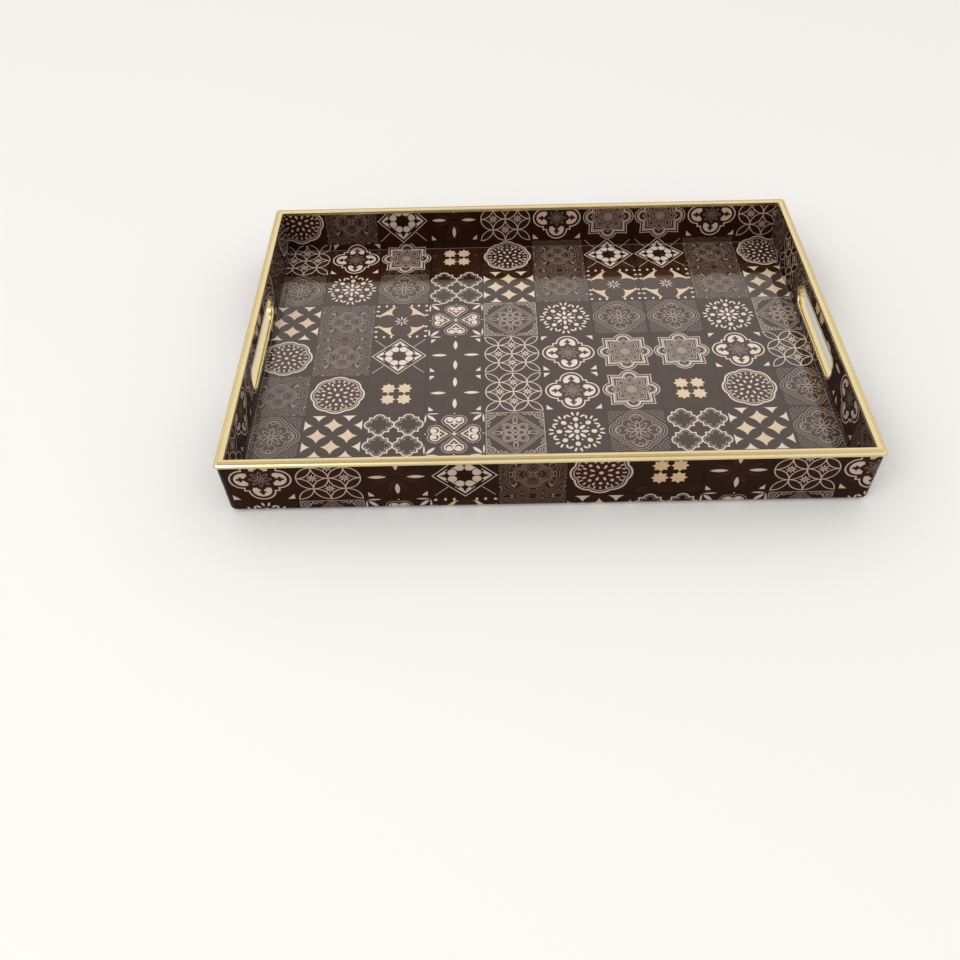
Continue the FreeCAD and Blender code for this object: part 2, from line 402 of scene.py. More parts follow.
# %% Lattice motifs
def leaf_lattice(place):
    """Overlapping circles drawn as leaves, a leaf in each corner, and a star in each of four circles."""
    whole = moved(place, 0, 0, 0.95, 0.95)
    quarter, cell = mirrored(whole), lattice(whole, 0.5)
    circles = either(circle(cell, 0.5, 0, 0.5, 0.0165), circle(cell, 0, 0.5, 0.5, 0.0165))
    inside = below(reach(quarter, 0.5, 0) & reach(quarter, 0, 0.5), 0.515)
    corner = below(leaf(quarter, 0.75, 0.75, 0.354, 0.146, 45), 0.012)
    stars = [petal(wheel(moved(quarter, x, y), 8), 0.10, 0, 0.080, 0.020) for x, y in ((0.5, 0), (0, 0.5))]
    leaves = below(reach(cell, 0.5, 0) | reach(cell, 0, 0.5), 0.5)
    return {"ink": either(circles & (inside | corner), *stars), "warm": leaves * 0.4}


def gilt_diamonds(place):
    """Gilt diamonds with hollow sides between dark leaves."""
    cell = lattice(place, 0.5)
    x, y = split(mirrored(place))
    diamonds = above(reach(cell, 0.5, 0) | reach(cell, 0, 0.5), 0.53) & below(x | y, 0.955)
    whole = below(x | y, 0.76)
    return {"gilt": diamonds & whole, "ink": diamonds & (1 - whole)}


def diamond_lace(place):
    """Diamond of three lines round a rosette of rings, with more rings in the corners of a thin frame."""
    quarter, wedge = mirrored(place), eightfold(place)
    x, y = split(quarter)
    slant = x + y
    frame_lines = either(line(x | y, 0.955, 0.012), *[line(slant, at, 0.011) for at in (0.99, 0.91, 0.82)])
    lobes = either(*[circle(quarter, 0.25, 0.25, at, 0.012) for at in (0.17, 0.11)]) & below(slant, 0.80)
    heart = either(circle(wedge, 0.20, 0, 0.10, 0.014), line(length(place), 0.07, 0.014),
                   line(leaf(wedge, 0.58, 0, 0.16, 0.07), 0, 0.012), circle(wedge, 0.40, 0, 0.07, 0.012))
    corners = either(*[circle(quarter, 0.80, 0.80, at, 0.014) for at in (0.05, 0.13)],
                     circle(wedge, 0.88, 0.50, 0.06, 0.014), circle(wedge, 0.90, 0.33, 0.05, 0.012),
                     circle(quarter, 1, 1, 0.42, 0.013)) & above(slant, 1.05) & below(x | y, 0.93)
    return {"ink": either(frame_lines, lobes, heart, corners) * 0.60, "warm": below(slant, 0.84)}


def dotted_diamond(place):
    """Diamond of two lines round a square ring of eight scrolls, with lines out to the corners."""
    quarter, wedge = mirrored(place), eightfold(place)
    x, y = split(quarter)
    slant, skew = x + y, abs(x - y)
    seams = above(split(wheel(place, 8))[1], 0.016)
    ring = (dot(wedge, 0.36, 0.14, 0.135) | dot(wedge, 0.30, 0.28, 0.085)) & seams
    tips = (above(slant, 0.66) & below(slant, 0.82) & above(skew, 0.38)
            | line(slant, 0.80, 0.016) & above(skew, 0.2))
    darts = petal(wedge, 0.60, 0, 0.13, 0.05) | petal(wedge, 0.56, 0, 0.05, 0.10)
    tails = line(skew, 0, 0.016) & above(slant, 1.02) & below(slant, 1.80)
    scrolls = either(ring, tips) & (1 - darts) & above(x | y, 0.20)
    return {"ink": either(scrolls, line(slant, 0.95, 0.020), tails * 0.8), "deep": below(slant, 0.92) * 0.7}


def arabesque(place):
    """Fine scrollwork, worked out as the contour lines of folded noise."""
    scroll = place.node("ShaderNodeTexNoise", {"noise_dimensions": "2D"},
                        {"Vector": mirrored(place), "Scale": 2.4, "Detail": 0.0, "Distortion": 0.6})
    rings = (scroll * 6 + length(eightfold(place)) * 1.6).math("PINGPONG", 0.5)
    ring = either(*[line(reach(eightfold(place), 0.30), at, 0.014) for at in (0.22, 0.30)])
    curls = either(line(rings, 0.25, 0.060), ring)
    return {"ink": curls * 0.30, "warm": below(rings, 0.25, 0.05) | ring}


MOTIFS = {"A": medallion, "B": four_stars, "C": four_petals, "D": leaf_lattice, "E": quatrefoil,
          "F": octagram, "G": gilt_diamonds, "H": four_frames, "I": clover, "J": diamond_lace,
          "K": rosette, "L": ogee_flower, "M": arabesque, "N": dotted_diamond, "O": dark_flower}
print(len(MOTIFS), "motifs")

# %% [markdown]
# ## Gloss lacquer over the print
# On the real tray the decor is ink on paper under a thick clear lacquer, which mirrors the room almost like
# glass. A clear coat could be laid over each colour, but one gloss on the shader itself is simpler: a low
# roughness gives the sharp reflection, and a faint bump the slow waves that sprayed lacquer has. The floor
# carries the thickest lacquer, so its index of refraction is higher than the walls'.

# %% Colours of the print
DEEP = (0.010, 0.004, 0.002, 1)
JOINT_EDGE = 0.978
FLOOR_FINISH = {"ior": 1.66, "ground": (0.029, 0.0095, 0.0034, 1), "warm": (0.055, 0.023, 0.013, 1),
                "ink": (0.80, 0.68, 0.59, 1), "gilt": ((0.66, 0.48, 0.32, 1), (0.82, 0.66, 0.49, 1))}
# The walls carry the same printed film as the floor, in darker colours: painted shade for the steep walls.
WALL_FINISH_PAINTED_SHADE = {"ior": 1.12, "ground": (0.0140, 0.0040, 0.0014, 1), "warm": (0.034, 0.012, 0.006, 1),
               "ink": (0.47, 0.355, 0.29, 1), "gilt": ((0.42, 0.27, 0.15, 1), (0.58, 0.41, 0.25, 1))}


def mixed(base, over, mask):
    """One colour over another, by a mask."""
    return mask.node("ShaderNodeMix", {"data_type": "RGBA"}, {0: mask, 6: base, 7: over}, 2)


def input_value(tree, kind, output):
    """A value from a node that has no inputs to fill."""
    return Value(tree, tree.nodes.new(kind).outputs[output])


def new_material(name):
    """Empty material, its Object coordinates to start formulas from, and its shader node."""
    material = bpy.data.materials.new(name)
    material.use_nodes = True
    tree = material.node_tree
    return material, input_value(tree, "ShaderNodeTexCoord", "Object"), tree.nodes["Principled BSDF"]


def noise(here, scale, detail, **more):
    """Soft random pattern with scale cells in a metre."""
    return here.node("ShaderNodeTexNoise", {}, {"Vector": here, "Scale": scale, "Detail": detail, **more})


def feed(shader, name, value):
    value.tree.links.new(value.socket, shader.inputs[name])


def feed_bump(shader, waves, strength, depth):
    """Small waves in a shader's surface."""
    feed(shader, "Normal", waves.node("ShaderNodeBump", {}, {
        "Height": waves, "Strength": strength, "Distance": depth}))


def lacquer_coat(shader, here, ior):
    """Gloss with slow waves and faint smears, for whatever colour the shader has."""
    waves, smears = noise(here, 55.0, 1.0), noise(here, 14.0, 3.0)
    shader.inputs["IOR"].default_value = ior
    feed(shader, "Roughness", smears * 0.07 + 0.03)
    feed_bump(shader, waves, 0.05, 0.4 * MM)


def printed_tile(letter, place_name, finish):
    """Material of one motif, drawn on the tile's own square."""
    material, here, shader = new_material(place_name + "_" + MOTIFS[letter].__name__)
    square = here.node("ShaderNodeUVMap", {"uv_map": "tile"}, {}, "UV")
    place = square.node("ShaderNodeVectorMath", {"operation": "MULTIPLY_ADD"},
                        {0: square, 1: (2, 2, 0), 2: (-1, -1, 0)})
    masks = MOTIFS[letter](place)
    grain, mottle = noise(here, 26.0, 4.0, Roughness=0.6), noise(here, 420.0, 2.0)
    colour = mixed(finish["ground"], finish["warm"], grain * 0.35 + mottle * 0.15)
    for name, shade in (("warm", finish["warm"]), ("deep", DEEP)):
        if name in masks:
            colour = mixed(colour, shade, masks[name] * 0.75)
    x, y = split(mirrored(place))
    colour = mixed(colour, DEEP, above(x | y, JOINT_EDGE) * 0.7)
    if "gilt" in masks:
        streaks = noise(here, 130.0, 3.0, Distortion=1.5)
        colour = mixed(colour, mixed(*finish["gilt"], streaks), masks["gilt"])
    if "ink" in masks:
        colour = mixed(colour, finish["ink"], masks["ink"] * (mottle * 0.25 + 0.86))
    feed(shader, "Base Color", colour)
    lacquer_coat(shader, here, finish["ior"])
    return material


FLOOR_PRINTS = {letter: printed_tile(letter, "floor", FLOOR_FINISH) for letter in MOTIFS}
# The wall materials are the same motifs in the darker colours of painted shade.
WALL_PRINTS_PAINTED_SHADE = {letter: printed_tile(letter, "wall", WALL_FINISH_PAINTED_SHADE) for letter in MOTIFS}
print("print materials:", len(FLOOR_PRINTS), "for the floor and", len(WALL_PRINTS_PAINTED_SHADE), "for the walls")
for letter, material in FLOOR_PRINTS.items():
    print("  ", letter, material.name, len(material.node_tree.nodes), "nodes")


# %% Plain lacquer
def plain_lacquer():
    """Lacquered board where the decor is plain brown: edges, grooves and undersides."""
    material, here, shader = new_material("plain_lacquer")
    # The warm tone is taken from the walls' darker colours, which are painted shade.
    feed(shader, "Base Color", mixed(DEEP, WALL_FINISH_PAINTED_SHADE["warm"], noise(here, 60.0, 4.0) * 0.7))
    lacquer_coat(shader, here, WALL_FINISH_PAINTED_SHADE["ior"])
    return material


PLAIN = plain_lacquer()
print("plain lacquer:", len(PLAIN.node_tree.nodes), "nodes")

# %% [markdown]
# ## Where each tile lies
# The decor is one printed film with its tiles in rows, cut in strips for the walls. So a plan in letters,
# read from left to right as each face is looked at, says which motif lies where. Inside, the floor's film
# turns up the foot of each wall before the strip above it starts. Outside, a strip starts a little way up,
# and the row that is printed below it shows as a narrow band at the foot.

# %% The plan of the floor and of the walls
FLOOR_PLAN = ("DEFBAMNNMA", "LKLHGMOOMG", "GMOIJKLLKJ", "AMNCDEFFED",
              "MABCDEFBAL", "LGHIJKLHGL", "KJIHGMOIJL")
FLOOR_LEFT, FLOOR_BACK = -5 * TILE + 1.84 * MM, 138.6 * MM
ROW = 39.7 * MM
COLUMNS, ROWS = len(FLOOR_PLAN[0]), len(FLOOR_PLAN)
# For each face: tile size, height where its strip starts, then each side's row, the row below, and its start.
STRIPS = {"outer": (40.9 * MM, 11.2 * MM, {"front": ("EDCNMABCDE", "KJIOMGHIJK", -193.65 * MM),
                                           "right": ("FBAMNCD", "LHGMOIJ", -143.15 * MM),
                                           "back": ("DEFFEDCNMA", "JKLLKJIOMG", -204.5 * MM),
                                           "left": ("MNCDFEA", "OIJLKGM", -143.15 * MM)}),
          "inner": (40.6 * MM, 14.5 * MM, {"back": ("AMNCDEFFED", "", -202.0 * MM),
                                           "left": ("DEFBAMA", "", -142.1 * MM),
                                           "front": ("DEFFEDCNMA", "", -202.0 * MM),
                                           "right": ("MDLBCEM", "", -142.1 * MM)})}


def floor_tile(across, along):
    """Motif letter, low corner and size of the tile at one point of the floor."""
    column = min(max(math.floor((across - FLOOR_LEFT) / TILE), 0), COLUMNS - 1)
    row = min(max(math.floor((FLOOR_BACK - along) / ROW), 0), ROWS - 1)
    return FLOOR_PLAN[row][column], FLOOR_LEFT + column * TILE, FLOOR_BACK - (row + 1) * ROW, TILE


def strip_tile(face, side, across, height):
    """The same for a point of a wall's face, by its place across the face and its height."""
    size, foot, sides = STRIPS[face]
    upper, lower, start = sides[side]
    column = min(max(math.floor((across - start) / size), 0), len(upper) - 1)
    letter, bottom = (upper[column], foot) if height > foot else (lower[column], foot - size)
    return letter, start + column * size, bottom, size


print("floor:", ROWS, "rows of", COLUMNS, "tiles")

# %% [markdown]
# ## Mitred lengths
# Rails and beads are both cut from a long moulding and mitred at 45 degrees, with the outer corners rounded
# over afterwards. A boolean could cut them, but it leaves ragged faces. Here the section is carried along
# the side instead: every point of it knows the centre of its own corner, so sharp and round corners meet
# on the mitre by themselves, and the tile coordinates can be written face by face.

# %% One side's own directions
TURNS = {"front": 0, "right": 90, "back": 180, "left": 270}
END_ZONE = 20 * MM
CORNER_ROUND = 5 * MM
CORNER_STEPS = 7


def half_sizes(side):
    """Half the side's run, and the distance from the centre to its outline."""
    return (LENGTH / 2, WIDTH / 2) if side in ("front", "back") else (WIDTH / 2, LENGTH / 2)


def station(half_run, inset, centre, step):
    """Place along the side, inset, and length along the surface, at one step of the right-hand end."""
    radius = max(centre - inset, 0)
    start = half_run - END_ZONE
    if radius == 0:
        along = start + (half_run - inset - start) * step / CORNER_STEPS
        return along, inset, along
    if step == 0:
        return start, inset, start
    turn = math.radians(45) * (step - 1) / (CORNER_STEPS - 1)
    along = half_run - centre + radius * math.sin(turn)
    return along, centre - radius * math.cos(turn), half_run - centre + CORNER_ROUND * turn


print("corner steps:", CORNER_STEPS)


# %% Carry a section along a side
RAIL_SHARP = math.radians(35)


def closed(bm, mesh):
    """Turns all faces of a closed shape outwards and writes them to the mesh."""
    bmesh.ops.recalc_face_normals(bm, faces=bm.faces)
    bm.to_mesh(mesh)
    bm.free()
    return mesh


def mitred_length(name, side, section, cuts, paint):
    """Closed mesh of one side. section is rows of (inset, height, corner centre, mark), cuts are places along
    the side that need an edge loop, and paint(mark, corners) gives a material's name and tile coordinates."""
    half_run, half_depth = half_sizes(side)
    inner_cuts = sorted(cut for cut in set(cuts) if abs(cut) < half_run - END_ZONE - MM)
    bm = bmesh.new()
    tile_map = bm.loops.layers.uv.new("tile")
    right_end = [[station(half_run, row[0], row[2], step) for row in section]
                 for step in range(CORNER_STEPS + 1)]
    left_end = [[(-along, inset, -surface) for along, inset, surface in column]
                for column in reversed(right_end)]
    columns = left_end + [[(cut, row[0], cut) for row in section] for cut in inner_cuts] + right_end
    made = []
    for column in columns:
        made.append([bm.verts.new((along, inset - half_depth, row[1]))
                     for (along, inset, _), row in zip(column, section)])
    names = []
    for left, right, left_at, right_at in zip(made, made[1:], columns, columns[1:]):
        for low in range(len(section)):
            high = (low + 1) % len(section)
            quad = bm.faces.new((left[low], right[low], right[high], left[high]))
            quad.smooth = True
            corners = [(left_at[low][2], section[low]), (right_at[low][2], section[low]),
                       (right_at[high][2], section[high]), (left_at[high][2], section[high])]
            finish, coordinates = paint(section[low][3], corners)
            if finish not in names:
                names.append(finish)
            quad.material_index = names.index(finish)
            for loop, place in zip(quad.loops, coordinates):
                loop[tile_map].uv = place
    bm.faces.new(made[0])
    bm.faces.new(reversed(made[-1]))
    mesh = closed(bm, bpy.data.meshes.new(name))
    mesh.transform(Matrix.Rotation(math.radians(TURNS[side]), 4, "Z"))
    mesh.set_sharp_from_angle(angle=RAIL_SHARP)
    return mesh, names


print("mitred_length is ready")


# %% The rail's section
def arc(centre_inset, centre_height, radius, start, stop, steps):
    """Points of a round corner, from one angle to another. 0 degrees points inwards and 90 up."""
    turns = [math.radians(start + (stop - start) * step / steps) for step in range(steps + 1)]
    return [(centre_inset + radius * math.cos(turn), centre_height + radius * math.sin(turn))
            for turn in turns]


FLOOR_INSET = inner_inset(FLOOR_TOP)
LEDGE = 9 * MM
FOOT_ROUND = 3.5 * MM
GROOVE_START, GROOVE_END, GROOVE_BOTTOM = 2.5 * MM, 4.1 * MM, WALL_TOP - 2.5 * MM
GROOVE = [(GROOVE_END, WALL_TOP), (GROOVE_END, GROOVE_BOTTOM), (GROOVE_START, GROOVE_BOTTOM),
          (GROOVE_START, WALL_TOP)]


def rail_section():
    """Rows of the section: down the outer face, under the foot and ledge, and up the inner face."""
    foot_centre = RAIL_FOOT + FOOT_ROUND
    foot_inset = outer_inset(foot_centre)
    outer_foot, inner_foot = STRIPS["outer"][1], STRIPS["inner"][1]
    rows = [(outer_inset(z), z, outer_inset(z) + CORNER_ROUND, "outer")
            for z in (WALL_TOP, (WALL_TOP + outer_foot) / 2, outer_foot)]
    rows += [(inset, z, foot_inset + CORNER_ROUND, "outer")
             for inset, z in arc(foot_inset + FOOT_ROUND, foot_centre, FOOT_ROUND, 180, 270, 6)]
    rows[-1] = rows[-1][:3] + ("plain",)
    rows += [(FLOOR_INSET + LEDGE, RAIL_FOOT, 0, "plain"), (FLOOR_INSET + LEDGE, LEDGE_TOP, 0, "plain"),
             (FLOOR_INSET, LEDGE_TOP, 0, "plain"), (FLOOR_INSET, FLOOR_TOP, 0, "inner"),
             (inner_inset(inner_foot), inner_foot, 0, "inner"), (inner_inset(WALL_TOP), WALL_TOP, 0, "plain")]
    return rows + [(inset, z, 0, "plain") for inset, z in GROOVE]


print("rail section:", len(rail_section()), "points")


# %% Paint a rail face by face
def unfolded(side, surface, up_the_wall):
    """Point of the floor's plan that continues at a point of an inner wall."""
    out = half_sizes(side)[1] - FLOOR_INSET + up_the_wall
    return {"front": (surface, -out), "back": (-surface, out),
            "right": (out, surface), "left": (-out, -surface)}[side]


def rail_painter(side):
    """Gives each face of a rail its motif and its place on the tile."""
    def paint(face, corners):
        if face == "plain":
            return "plain", [(0, 0)] * len(corners)
        highest = max(row[1] for _, row in corners)
        turned_up = face == "inner" and highest <= STRIPS["inner"][1] + NEARLY
        if turned_up:
            places = [unfolded(side, surface, row[1] - FLOOR_TOP) for surface, row in corners]
        elif face == "inner":
            places = [(-surface, row[1]) for surface, row in corners]
        else:
            places = [(surface, row[1] - max(row[0] - outer_inset(row[1]), 0)) for surface, row in corners]
        middle = [sum(place[axis] for place in places) / len(places) for axis in (0, 1)]
        letter, left, bottom, size = floor_tile(*middle) if turned_up else strip_tile(face, side, *middle)
        return letter, [((across - left) / size, (up - bottom) / size) for across, up in places]
    return paint


def rail_cuts(side):
    """Where tiles meet along a rail, outside and inside."""
    cuts = []
    for face, way in (("outer", 1), ("inner", -1)):
        size, _, sides = STRIPS[face]
        cuts += [way * (sides[side][2] + size * count) for count in range(COLUMNS + 1)]
    way = 1 if side in ("front", "right") else -1
    if side in ("front", "back"):
        return cuts + [way * (FLOOR_LEFT + TILE * count) for count in range(COLUMNS + 1)]
    return cuts + [way * (FLOOR_BACK - ROW * count) for count in range(ROWS + 1)]


print("tile joints along the front rail, outside and inside:", len(set(rail_cuts("front"))))


# %% Make the four rails
def finished(name, mesh, materials, slot, *nodes):
    """Object for a finished mesh, riding on the frame in place of its packed pieces."""
    for material in materials:
        mesh.materials.append(material)
    piece = bpy.data.objects.new(name, mesh)
    bpy.context.collection.objects.link(piece)
    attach(piece, "root")
    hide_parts(*nodes)


def rail(side):
    """One rail, not yet pierced."""
    name = side + "_rail_lacquered"
    mesh, finishes = mitred_length(name, side, rail_section(), rail_cuts(side), rail_painter(side))
    return mesh, [PLAIN if finish == "plain" else WALL_PRINTS_PAINTED_SHADE[finish] for finish in finishes]


for side in ("front", "back"):
    mesh, materials = rail(side)
    finished(side + "_rail_lacquered", mesh, materials, "lacquered_board", side + "_rail")
    print(side, "rail:", len(mesh.polygons), "faces,", len(materials), "materials")

# %% [markdown]
# ## Hand slots
# The slots are cut through the finished side rails with an oval cutter, square to the leaning wall. The cut
# could be left out of the rail by joining faces round it by hand, but a Boolean modifier does what the
# factory's router does, and keeps the print's coordinates on the faces round the hole.

# %% The oval and its place
SLOT_LOW, SLOT_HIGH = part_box("handle_liner_right")
LIP_WIDTH = 1.2 * MM
SLOT_LENGTH = SLOT_HIGH.y - SLOT_LOW.y - 2 * LIP_WIDTH
SLOT_HEIGHT = SLOT_HIGH.z - SLOT_LOW.z - 2 * LIP_WIDTH
SLOT_CENTRE = (SLOT_LOW.z + SLOT_HIGH.z) / 2
print("hand slot:", round(SLOT_LENGTH / MM, 1), "by", round(SLOT_HEIGHT / MM, 1), "mm")


def wall_placement(side):
    """Turns a piece drawn flat, with +Z outwards, onto the outer face of a side rail at the slot."""
    turn = Matrix.Rotation(math.radians(TURNS[side] - 90), 4, "Z")
    flat = Matrix(((0, math.sin(LEAN), math.cos(LEAN), LENGTH / 2 - outer_inset(SLOT_CENTRE)),
                   (1, 0, 0, 0),
                   (0, math.cos(LEAN), -math.sin(LEAN), SLOT_CENTRE),
                   (0, 0, 0, 1)))
    return turn @ flat


# %% Cut the slots
CUTTER_START, CUTTER_LENGTH = 8 * MM, 20 * MM
OVAL_STEPS = 24


def oval_cutter(side):
    """Closed prism of the slot's outline."""
    radius, straight = SLOT_HEIGHT / 2, (SLOT_LENGTH - SLOT_HEIGHT) / 2
    outline = [(straight + x, y) for x, y in arc(0, 0, radius, -90, 90, OVAL_STEPS)]
    outline += [(x - straight, y) for x, y in arc(0, 0, radius, 90, 270, OVAL_STEPS)]
    bm = bmesh.new()
    outside = bm.faces.new([bm.verts.new((x, y, CUTTER_START)) for x, y in outline])
    through = bmesh.ops.extrude_face_region(bm, geom=[outside])
    far_end = [part for part in through["geom"] if isinstance(part, bmesh.types.BMVert)]
    bmesh.ops.translate(bm, vec=(0, 0, -CUTTER_LENGTH), verts=far_end)
    mesh = closed(bm, bpy.data.meshes.new("cutter"))
    mesh.transform(wall_placement(side))
    mesh.materials.append(PLAIN)
    return bpy.data.objects.new("cutter_" + side, mesh)


def pierced(piece, cutter):
    """The piece's mesh with the cutter's shape removed."""
    bpy.context.collection.objects.link(piece)
    bpy.context.collection.objects.link(cutter)
    cut = piece.modifiers.new("cut", "BOOLEAN")
    cut.operation, cut.solver, cut.object, cut.material_mode = "DIFFERENCE", "EXACT", cutter, "TRANSFER"
    view = bpy.context.evaluated_depsgraph_get()
    mesh = bpy.data.meshes.new_from_object(piece.evaluated_get(view), depsgraph=view)
    for spent in (piece, cutter):
        bpy.data.objects.remove(spent)
    return mesh


for side in ("left", "right"):
    mesh, materials = rail(side)
    for material in materials:
        mesh.materials.append(material)
    blank = bpy.data.objects.new("blank_" + side, mesh)
    cut_mesh = pierced(blank, oval_cutter(side))
    cut_mesh.set_sharp_from_angle(angle=RAIL_SHARP)
    finished(side + "_rail_lacquered", cut_mesh, [], "lacquered_board", side + "_rail")
    print(side, "rail:", len(cut_mesh.polygons), "faces,", len(cut_mesh.materials), "materials")

# %% [markdown]
# ## The printed floor
# The floor is one sheet of the decor, with the lacquer pooled in a fine curve where it meets the walls. A
# flat plane would join the walls in a hard line that catches no light. A grid with extra edge loops close
# to its border can turn up there, and it can change motif from one tile to the next.

# %% Make the floor sheet
POOL_TUCK = 0.02 * MM
POOL_ZONE = 2 * MM
FLOOR_SHARP = math.radians(60)
SEAM_WIDTH = 0.28 * MM
POOL = [(0.0, 0.32 * MM), (0.12 * MM, 0.15 * MM), (SEAM_WIDTH, 0.04 * MM), (0.6 * MM, 0.0)]


def grid_lines(half, first, size, count):
    """Places of the edge loops: every tile edge, and the steps of the pooled border."""
    joints = [first + size * place for place in range(count + 1)]
    lines = [joint for joint in joints if abs(joint) < half - POOL_ZONE]
    return sorted(lines + [way * (half - inset) for inset, _ in POOL for way in (-1, 1)])


def floor_sheet():
    """Closed mesh of the floor sheet, and the names of its materials in order."""
    half_x, half_y = LENGTH / 2 - FLOOR_INSET + POOL_TUCK, WIDTH / 2 - FLOOR_INSET + POOL_TUCK
    xs = grid_lines(half_x, FLOOR_LEFT, TILE, COLUMNS)
    ys = grid_lines(half_y, FLOOR_BACK - ROWS * ROW, ROW, ROWS)
    bm = bmesh.new()
    tile_map = bm.loops.layers.uv.new("tile")

    def rise(x, y):
        edge = min(half_x - abs(x), half_y - abs(y))
        return next((height for inset, height in POOL if edge < inset + NEARLY), 0.0)

    top = [[bm.verts.new((x, y, FLOOR_TOP + rise(x, y))) for x in xs] for y in ys]
    names = ["seam"]
    for row in range(len(ys) - 1):
        for column in range(len(xs) - 1):
            quad = bm.faces.new((top[row][column], top[row][column + 1],
                                 top[row + 1][column + 1], top[row + 1][column]))
            quad.smooth = True
            middle = quad.calc_center_median()
            letter, left, bottom, size = floor_tile(middle.x, middle.y)
            # The faces of the narrow seam strip get lacquer painted paler, as a highlight line.
            if min(half_x - abs(middle.x), half_y - abs(middle.y)) < SEAM_WIDTH:
                letter = "seam"
            if letter not in names:
                names.append(letter)
            quad.material_index = names.index(letter)
            for loop in quad.loops:
                loop[tile_map].uv = (loop.vert.co.x - left) / size, (loop.vert.co.y - bottom) / size
    rim = top[0] + [row[-1] for row in top[1:]]
    rim += top[-1][-2::-1] + [row[0] for row in top[-2:0:-1]]
    sheet_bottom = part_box("floor_print")[0].z
    foot = [bm.verts.new((vert.co.x, vert.co.y, sheet_bottom)) for vert in rim]
    for here, there, under_here, under_there in zip(rim, rim[1:] + rim[:1], foot, foot[1:] + foot[:1]):
        bm.faces.new((here, under_here, under_there, there))
    bm.faces.new(foot)
    mesh = closed(bm, bpy.data.meshes.new("printed_floor"))
    mesh.set_sharp_from_angle(angle=FLOOR_SHARP)
    return mesh, names


# %% Lacquer pooled along the seam, painted paler as a highlight line
def pooled_lacquer():
    """Clear lacquer pooled along the seam. Its curve catches real light, and its colour is also painted paler
    than the ground of the print as a highlight line.
    """
    material, here, shader = new_material("pooled_lacquer")
    broken = noise(here, 90.0, 3.0)
    feed(shader, "Base Color", mixed((0.045, 0.028, 0.020, 1), (0.10, 0.075, 0.06, 1), broken))
    lacquer_coat(shader, here, FLOOR_FINISH["ior"])
    return material


floor_mesh, floor_names = floor_sheet()
seam_painted_highlight = pooled_lacquer()
floor_materials = [seam_painted_highlight if name == "seam" else FLOOR_PRINTS[name] for name in floor_names]
finished("printed_floor", floor_mesh, floor_materials, "printed_laminate", "floor_print")
print("floor sheet:", len(floor_mesh.polygons), "faces,", len(floor_materials), "materials")

# %% [markdown]
# ## Polished gold trim
# The bead and the slot liners are a pale gold anodised metal. Real polish is never even: fingers leave soft
# patches, and drawing the strip through its die leaves faint waves. So shade and roughness drift over a few
# centimetres, and a faint bump gives waves of under a centimetre.

# %% Gold, steel and the rest
def metal(name, dark, light, roughness, spread):
    """Metal whose shade and polish drift over a few centimetres, with fine waves in its surface."""
    material, here, shader = new_material(name)
    drift, fine, waves = noise(here, 22.0, 3.0), noise(here, 900.0, 2.0), noise(here, 120.0, 1.0)
    shader.inputs["Metallic"].default_value = 1.0
    feed(shader, "Base Color", mixed(dark, light, drift * 0.8 + fine * 0.2))
    feed(shader, "Roughness", drift * spread + roughness)
    feed_bump(shader, waves, 0.02, 0.3 * MM)
    return material


def dull(name, dark, light, scale, roughness, depth):
    """Matt material with a grain of its own colour and a bump of the same grain."""
    material, here, shader = new_material(name)
    grain = noise(here, scale, 5.0, Roughness=0.65)
    feed(shader, "Base Color", mixed(dark, light, grain))
    feed(shader, "Roughness", grain * 0.2 + roughness)
    feed_bump(shader, grain, 0.5, depth)
    return material


GOLD = metal("pale_gold", (0.69, 0.56, 0.30, 1), (0.88, 0.75, 0.44, 1), 0.12, 0.10)
STEEL = metal("bright_steel", (0.42, 0.42, 0.43, 1), (0.60, 0.60, 0.60, 1), 0.25, 0.15)
FIBREBOARD = dull("fibreboard", (0.20, 0.12, 0.07, 1), (0.42, 0.29, 0.18, 1), 700.0, 0.75, 0.2 * MM)
BACKING = dull("backing_sheet", (0.020, 0.012, 0.009, 1), (0.060, 0.038, 0.028, 1), 900.0, 0.55, 0.1 * MM)
RUBBER = dull("foot_rubber", (0.012, 0.012, 0.013, 1), (0.035, 0.034, 0.035, 1), 1200.0, 0.60, 0.1 * MM)
print("metals:", GOLD.name, STEEL.name, "and dull ones:", FIBREBOARD.name, BACKING.name, RUBBER.name)

# %% [markdown]
# ## Geometry Nodes trees
# What repeats, or follows a path, is left to Geometry Nodes: the beads that follow the rim, the rings that
# follow the slots, and the brads, nails and feet. The same class that writes shader maths writes these
# trees too, because both kinds share the Math nodes. Each result becomes a plain mesh before it is placed.


# %% Start and run a tree
WELD = 0.002 * MM
TRIM_SHARP = math.radians(40)


def new_tree(name, sizes):
    """Empty tree with a geometry input, named sizes and a material. Answers the tree and its inputs."""
    tree = bpy.data.node_groups.new(name, "GeometryNodeTree")
    kinds = {"Geometry": "NodeSocketGeometry", **sizes, "Material": "NodeSocketMaterial"}
    for title, kind in kinds.items():
        tree.interface.new_socket(title, in_out="INPUT", socket_type=kind)
    tree.interface.new_socket("Geometry", in_out="OUTPUT", socket_type="NodeSocketGeometry")
    inputs = tree.nodes.new("NodeGroupInput").outputs
    return tree, {title: Value(tree, inputs[title]) for title in kinds}


def end_tree(geometry, given):
    """Realize the instances, set the material, and send the geometry out."""
    whole = geometry.node("GeometryNodeRealizeInstances", {}, {"Geometry": geometry})
    coloured = whole.node("GeometryNodeSetMaterial", {}, {"Geometry": whole, "Material": given["Material"]})
    end = coloured.tree.nodes.new("NodeGroupOutput")
    coloured.tree.links.new(coloured.socket, end.inputs["Geometry"])


